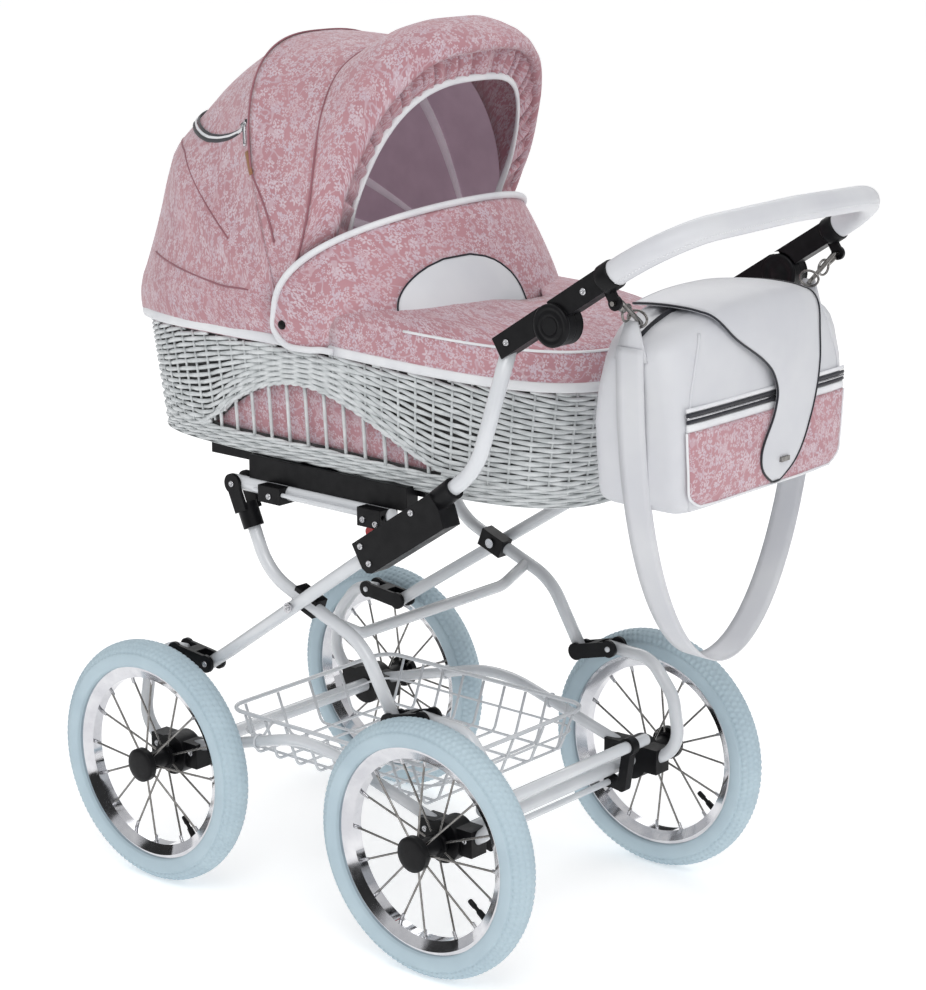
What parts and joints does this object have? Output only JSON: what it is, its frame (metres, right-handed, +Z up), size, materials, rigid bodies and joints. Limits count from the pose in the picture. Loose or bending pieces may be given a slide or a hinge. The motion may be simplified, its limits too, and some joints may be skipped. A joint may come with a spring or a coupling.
{
  "type": "bassinet pram",
  "caption": "Pram with a wicker bassinet, folding hood, apron and wind flap on a folding chassis with spoked wheels, a hinged push handle, wire tray and hanging bag.",
  "frame": {"origin": "middle of the length and width, on the ground", "axes": "+X towards the pushing end, +Y to the right of the person pushing, +Z up"},
  "size_m": [1.0674, 0.563, 1.2084],
  "materials": {
    "tyre": "matt pale blue-grey rubber",
    "chrome": "polished",
    "black_plastic": "fine matt",
    "white_paint": "gloss",
    "red_plastic": "gloss",
    "white_leather": "grained",
    "wicker": "white paint",
    "pink_fabric": "small floral print",
    "white_fabric": "soft"
  },
  "bodies": {
    "undercarriage": {"side_tubes": "white_paint", "front_cross_tube": "white_paint", "rear_cross_tube": "white_paint", "spring_tubes": "white_paint", "axle_brackets": "black_plastic", "stub_axles": "chrome", "shopping_tray": "white_paint"},
    "wheel_front_left": {"tyre_front_left": "tyre", "rim_front_left": "chrome", "spokes_front_left": "chrome", "hub_front_left": "black_plastic"},
    "wheel_front_right": {"tyre_front_right": "tyre", "rim_front_right": "chrome", "spokes_front_right": "chrome", "hub_front_right": "black_plastic"},
    "wheel_rear_left": {"tyre_rear_left": "tyre", "rim_rear_left": "chrome", "spokes_rear_left": "chrome", "hub_rear_left": "black_plastic"},
    "wheel_rear_right": {"tyre_rear_right": "tyre", "rim_rear_right": "chrome", "spokes_rear_right": "chrome", "hub_rear_right": "black_plastic"},
    "brake": {"brake_bar": "white_paint", "brake_arms": "black_plastic"},
    "front_links": {"front_links": "black_plastic"},
    "rear_links": {"rear_links": "black_plastic"},
    "push_frame": {"fold_tubes": "white_paint", "fold_boxes": "black_plastic", "push_tubes": "white_paint", "handle_arms": "black_plastic"},
    "leg_frame": {"legs": "white_paint", "leg_brace": "white_paint", "pivot_blocks": "black_plastic", "pivot_pins": "chrome", "leg_elbows": "black_plastic"},
    "carrier": {"rails": "white_paint", "rail_brackets": "black_plastic"},
    "release_levers": {"red_levers": "red_plastic"},
    "release_wires": {"release_wires": "white_paint"},
    "handle": {"handle_joints": "black_plastic", "grip": "white_leather"},
    "button_left": {"button_left": "black_plastic"},
    "button_right": {"button_right": "black_plastic"},
    "bassinet": {"base_frame": "black_plastic", "wicker_basket": "wicker", "lining": "pink_fabric", "mattress": "white_fabric", "apron": "pink_fabric", "wind_flap": "pink_fabric", "hood_hinges": "chrome", "hood_rear_panel": "pink_fabric"},
    "hood_bow": {"hood_bow": "chrome", "hood_front_panel": "pink_fabric"},
    "hood_visor": {"hood_visor": "pink_fabric"},
    "bag": {"bag_body": "white_leather", "bag_strap": "white_leather", "bag_hooks": "chrome"},
    "bag_flap": {"bag_flap": "white_leather"},
    "turn_lock": {"turn_lock": "chrome"}
  },
  "joints": [
    {"name": "chassis_fold", "type": "hinge", "parent": "undercarriage", "child": "front_links", "pos_m": [-0.35374, 0, 0.329], "axis": [0, 1, 0], "range_deg": [0, 45]},
    {"name": "push_frame_fold", "type": "hinge", "parent": "front_links", "child": "push_frame", "pos_m": [-0.29214, 0, 0.32198], "axis": [0, 1, 0], "range_deg": [-39, 0]},
    {"name": "leg_frame_fold", "type": "hinge", "parent": "push_frame", "child": "leg_frame", "pos_m": [-0.10724, 0, 0.446], "axis": [0, 1, 0], "range_deg": [-19, 0]},
    {"name": "carrier_level", "type": "hinge", "parent": "leg_frame", "child": "carrier", "pos_m": [-0.23024, 0, 0.592], "axis": [0, 1, 0], "range_deg": [0, 12]},
    {"name": "rear_link_fold", "type": "hinge", "parent": "undercarriage", "child": "rear_links", "pos_m": [0.10826, 0, 0.329], "axis": [0, 1, 0], "range_deg": [-35.5, 0]},
    {"name": "front_left_wheel_spin", "type": "hinge", "parent": "undercarriage", "child": "wheel_front_left", "pos_m": [-0.35874, -0.2515, 0.175], "axis": [0, 1, 0], "continuous": true},
    {"name": "front_right_wheel_spin", "type": "hinge", "parent": "undercarriage", "child": "wheel_front_right", "pos_m": [-0.35874, 0.2515, 0.175], "axis": [0, 1, 0], "continuous": true},
    {"name": "rear_left_wheel_spin", "type": "hinge", "parent": "undercarriage", "child": "wheel_rear_left", "pos_m": [0.15026, -0.2515, 0.175], "axis": [0, 1, 0], "continuous": true},
    {"name": "rear_right_wheel_spin", "type": "hinge", "parent": "undercarriage", "child": "wheel_rear_right", "pos_m": [0.15026, 0.2515, 0.175], "axis": [0, 1, 0], "continuous": true},
    {"name": "brake_pedal", "type": "hinge", "parent": "undercarriage", "child": "brake", "pos_m": [0.15026, 0, 0.155], "axis": [0, 1, 0], "range_deg": [0, 15]},
    {"name": "bassinet_lift", "type": "slide", "parent": "carrier", "child": "bassinet", "axis": [0, 0, 1], "range_m": [0, 0.25]},
    {"name": "release_lever", "type": "hinge", "parent": "carrier", "child": "release_levers", "pos_m": [0.01776, 0, 0.567], "axis": [0, 1, 0], "range_deg": [0, 25]},
    {"name": "release_wire", "type": "slide", "parent": "carrier", "child": "release_wires", "axis": [1, 0, 0], "range_m": [0, 0.0079], "stiffness_N_per_m": 250, "springref_m": -0.01},
    {"name": "handle_tilt", "type": "hinge", "parent": "push_frame", "child": "handle", "pos_m": [0.34983, 0, 0.88658], "axis": [0, 1, 0], "range_deg": [-25, 40]},
    {"name": "bag_hang", "type": "hinge", "parent": "handle", "child": "bag", "pos_m": [0.43234, 0, 0.92109], "axis": [0, 1, 0], "range_deg": [-41, 26]},
    {"name": "bag_flap_open", "type": "hinge", "parent": "bag", "child": "bag_flap", "pos_m": [0.36534, 0, 0.90809], "axis": [0, 1, 0], "range_deg": [-50, 0]},
    {"name": "turn_lock_turn", "type": "hinge", "parent": "bag_flap", "child": "turn_lock", "pos_m": [0.49414, 0.024, 0.69817], "axis": [1, 0, 0], "range_deg": [0, 90]},
    {"name": "button_left_press", "type": "slide", "parent": "handle", "child": "button_left", "axis": [0, 1, 0], "range_m": [0, 0.0035], "stiffness_N_per_m": 300, "springref_m": -0.006},
    {"name": "button_right_press", "type": "slide", "parent": "handle", "child": "button_right", "axis": [0, -1, 0], "range_m": [0, 0.0035], "stiffness_N_per_m": 300, "springref_m": -0.006},
    {"name": "hood_fold", "type": "hinge", "parent": "bassinet", "child": "hood_bow", "pos_m": [-0.14424, 0, 0.8493], "axis": [0, 1, 0], "range_deg": [-40, 0], "deforming": ["hood_rear_panel"]},
    {"name": "hood_front", "type": "hinge", "parent": "hood_bow", "child": "hood_visor", "pos_m": [-0.14424, 0, 0.8493], "axis": [0, 1, 0], "range_deg": [-21, 0], "deforming": ["hood_front_panel"]}
  ],
  "couplings": [
    {"joint": "push_frame_fold", "follows": "chassis_fold", "ratio": -0.85},
    {"joint": "leg_frame_fold", "follows": "chassis_fold", "ratio": -0.4093},
    {"joint": "carrier_level", "follows": "chassis_fold", "ratio": 0.2593},
    {"joint": "rear_link_fold", "follows": "chassis_fold", "ratio": -0.7713},
    {"joint": "release_lever", "follows": "release_wire", "rad_per_m": 54.6},
    {"joint": "bag_hang", "follows": "handle_tilt", "ratio": -1},
    {"joint": "button_right_press", "follows": "button_left_press", "ratio": 1},
    {"joint": "hood_front", "follows": "hood_fold", "ratio": 0.5}
  ]
}
